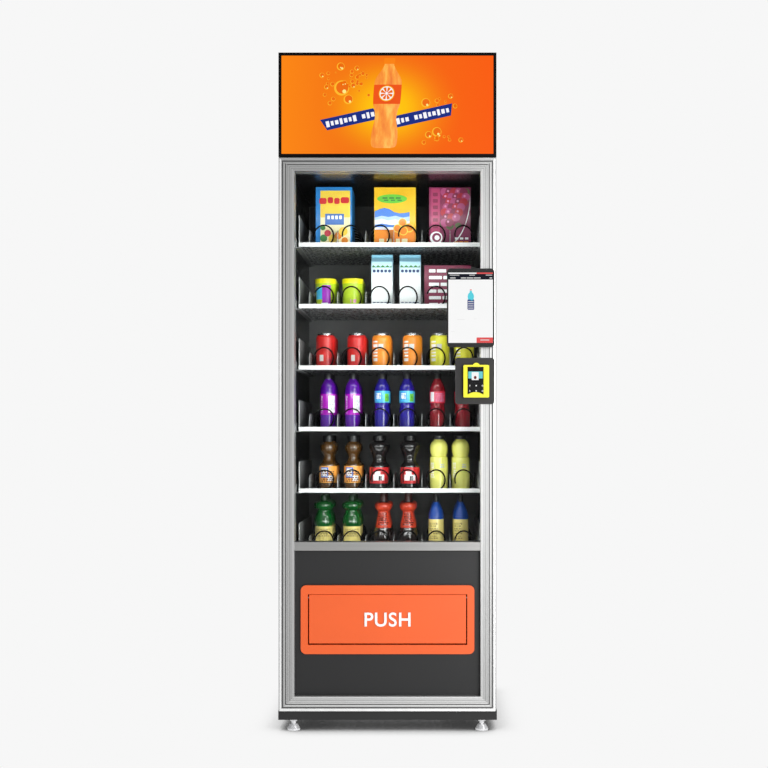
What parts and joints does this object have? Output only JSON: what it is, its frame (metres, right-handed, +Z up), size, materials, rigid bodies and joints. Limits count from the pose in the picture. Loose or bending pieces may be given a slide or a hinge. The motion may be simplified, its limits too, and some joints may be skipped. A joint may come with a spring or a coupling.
{
  "type": "snack vending machine",
  "caption": "Glass-fronted spiral vending machine with a hinged door, sliding trays, a push flap, a lit header display, a touch tablet and a card reader.",
  "frame": {"origin": "centre of the footprint at floor level, under the middle of the bounding box", "axes": "+X to the right seen from the front, +Y from the door to the rear, +Z up"},
  "size_m": [0.694, 0.83, 2.15],
  "materials": {
    "cabinet_paint": "satin powder coat",
    "liner_paint": "satin",
    "black_paint": "satin",
    "foot_chrome": "polished",
    "display_panel": "lit display",
    "zinc_steel": "zinc plated",
    "tray_paint": "satin powder coat",
    "led_cover": "diffusing",
    "coil_aluminium": "mill",
    "black_plastic": "fine texture",
    "frame_aluminium": "satin anodised",
    "door_glass": "clear",
    "charcoal_panel": "satin",
    "seal_rubber": "matte",
    "orange_plastic": "satin moulded",
    "yellow_plastic": "satin moulded",
    "spiral_paint": "dipped"
  },
  "bodies": {
    "cabinet": {"cabinet_shell": "cabinet_paint", "insulated_floor": "liner_paint", "inner_liner": "liner_paint", "base_plinth": "black_paint", "levelling_feet": "foot_chrome", "header_housing": "black_paint", "header_display": "display_panel", "control_box": "zinc_steel", "tray_runners": "tray_paint", "led_strips": "led_cover", "compressor": "black_paint", "condenser": "coil_aluminium", "evaporator": "coil_aluminium", "fan_motor": "black_plastic", "rear_cover": "cabinet_paint", "power_inlet": "black_plastic", "hinge_pins": "zinc_steel"},
    "door": {"door_stile_left": "frame_aluminium", "door_stile_right": "frame_aluminium", "door_rail_bottom": "frame_aluminium", "door_rail_top": "frame_aluminium", "door_mid_rail": "frame_aluminium", "door_glass": "door_glass", "door_lower_panel": "charcoal_panel", "door_gasket": "seal_rubber", "pickup_bezel": "orange_plastic", "flap_pin": "zinc_steel", "pickup_bin": "liner_paint", "lock_barrel": "zinc_steel", "tablet_housing": "black_plastic", "tablet_screen": "display_panel", "reader_plate": "black_plastic", "card_reader": "yellow_plastic"},
    "pickup_flap": {"pickup_flap": "orange_plastic"},
    "lock_cam": {"lock_cam": "zinc_steel"},
    "fan_blade": {"fan_blade": "black_plastic"},
    "tray_1": {"tray_1": "tray_paint", "spiral_motors_1": "black_plastic", "spirals_1": "spiral_paint"},
    "drive_spiral_1": {"drive_spiral_1": "spiral_paint"},
    "tray_2": {"tray_2": "tray_paint", "spiral_motors_2": "black_plastic", "spirals_2": "spiral_paint"},
    "drive_spiral_2": {"drive_spiral_2": "spiral_paint"},
    "tray_3": {"tray_3": "tray_paint", "spiral_motors_3": "black_plastic", "spirals_3": "spiral_paint"},
    "drive_spiral_3": {"drive_spiral_3": "spiral_paint"},
    "tray_4": {"tray_4": "tray_paint", "spiral_motors_4": "black_plastic", "spirals_4": "spiral_paint"},
    "drive_spiral_4": {"drive_spiral_4": "spiral_paint"},
    "tray_5": {"tray_5": "tray_paint", "spiral_motors_5": "black_plastic", "spirals_5": "spiral_paint"},
    "drive_spiral_5": {"drive_spiral_5": "spiral_paint"},
    "tray_6": {"tray_6": "tray_paint", "spiral_motors_6": "black_plastic", "spirals_6": "spiral_paint"},
    "drive_spiral_6": {"drive_spiral_6": "spiral_paint"}
  },
  "joints": [
    {"name": "door_hinge", "type": "hinge", "parent": "cabinet", "child": "door", "pos_m": [-0.33, -0.357, 0.94], "axis": [0, 0, -1], "range_deg": [0, 110]},
    {"name": "flap_hinge", "type": "hinge", "parent": "door", "child": "pickup_flap", "pos_m": [0, -0.3665, 0.423], "axis": [1, 0, 0], "range_deg": [0, 70]},
    {"name": "lock_turn", "type": "hinge", "parent": "door", "child": "lock_cam", "pos_m": [0.32, -0.347, 0.95], "axis": [-1, 0, 0], "range_deg": [0, 90]},
    {"name": "fan_turn", "type": "hinge", "parent": "cabinet", "child": "fan_blade", "pos_m": [-0.165, -0.22, 0.15], "axis": [0, 1, 0], "continuous": true},
    {"name": "tray_1_slide", "type": "slide", "parent": "cabinet", "child": "tray_1", "axis": [0, -1, 0], "range_m": [0, 0.15]},
    {"name": "spiral_1_turn", "type": "hinge", "parent": "tray_1", "child": "drive_spiral_1", "pos_m": [-0.0329, 0.33, 1.6063], "axis": [0, 1, 0], "continuous": true},
    {"name": "tray_2_slide", "type": "slide", "parent": "cabinet", "child": "tray_2", "axis": [0, -1, 0], "range_m": [0, 0.15]},
    {"name": "spiral_2_turn", "type": "hinge", "parent": "tray_2", "child": "drive_spiral_2", "pos_m": [-0.0329, 0.33, 1.4018], "axis": [0, 1, 0], "continuous": true},
    {"name": "tray_3_slide", "type": "slide", "parent": "cabinet", "child": "tray_3", "axis": [0, -1, 0], "range_m": [0, 0.15]},
    {"name": "spiral_3_turn", "type": "hinge", "parent": "tray_3", "child": "drive_spiral_3", "pos_m": [-0.0329, 0.33, 1.1973], "axis": [0, 1, 0], "continuous": true},
    {"name": "tray_4_slide", "type": "slide", "parent": "cabinet", "child": "tray_4", "axis": [0, -1, 0], "range_m": [0, 0.15]},
    {"name": "spiral_4_turn", "type": "hinge", "parent": "tray_4", "child": "drive_spiral_4", "pos_m": [-0.0329, 0.33, 0.9928], "axis": [0, 1, 0], "continuous": true},
    {"name": "tray_5_slide", "type": "slide", "parent": "cabinet", "child": "tray_5", "axis": [0, -1, 0], "range_m": [0, 0.15]},
    {"name": "spiral_5_turn", "type": "hinge", "parent": "tray_5", "child": "drive_spiral_5", "pos_m": [-0.0329, 0.33, 0.7883], "axis": [0, 1, 0], "continuous": true},
    {"name": "tray_6_slide", "type": "slide", "parent": "cabinet", "child": "tray_6", "axis": [0, -1, 0], "range_m": [0, 0.15]},
    {"name": "spiral_6_turn", "type": "hinge", "parent": "tray_6", "child": "drive_spiral_6", "pos_m": [-0.0329, 0.33, 0.5838], "axis": [0, 1, 0], "continuous": true}
  ]
}
